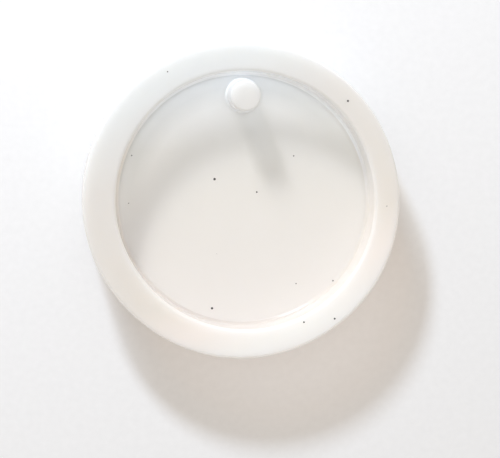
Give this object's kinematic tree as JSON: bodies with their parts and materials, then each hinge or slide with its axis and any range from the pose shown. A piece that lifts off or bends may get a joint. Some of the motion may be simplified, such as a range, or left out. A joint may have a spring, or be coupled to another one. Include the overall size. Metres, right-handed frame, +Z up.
{
  "type": "resin casting mould",
  "caption": "Round open silicone mould: a thin floor, a thick wall with a flat rim, and an upright peg near the wall that leaves the hanging hole in a cast resin disc.",
  "frame": {"origin": "middle of the flat underside", "axes": "+Z up, out of the open cavity; +Y from the middle towards the peg; +X towards the thinner side of the wall"},
  "size_m": [0.049, 0.049, 0.0085],
  "materials": {
    "silicone": "translucent milky white, smooth, slightly glossy"
  },
  "bodies": {
    "root": {"mould_tray": "silicone", "hole_peg": "silicone"}
  },
  "joints": []
}
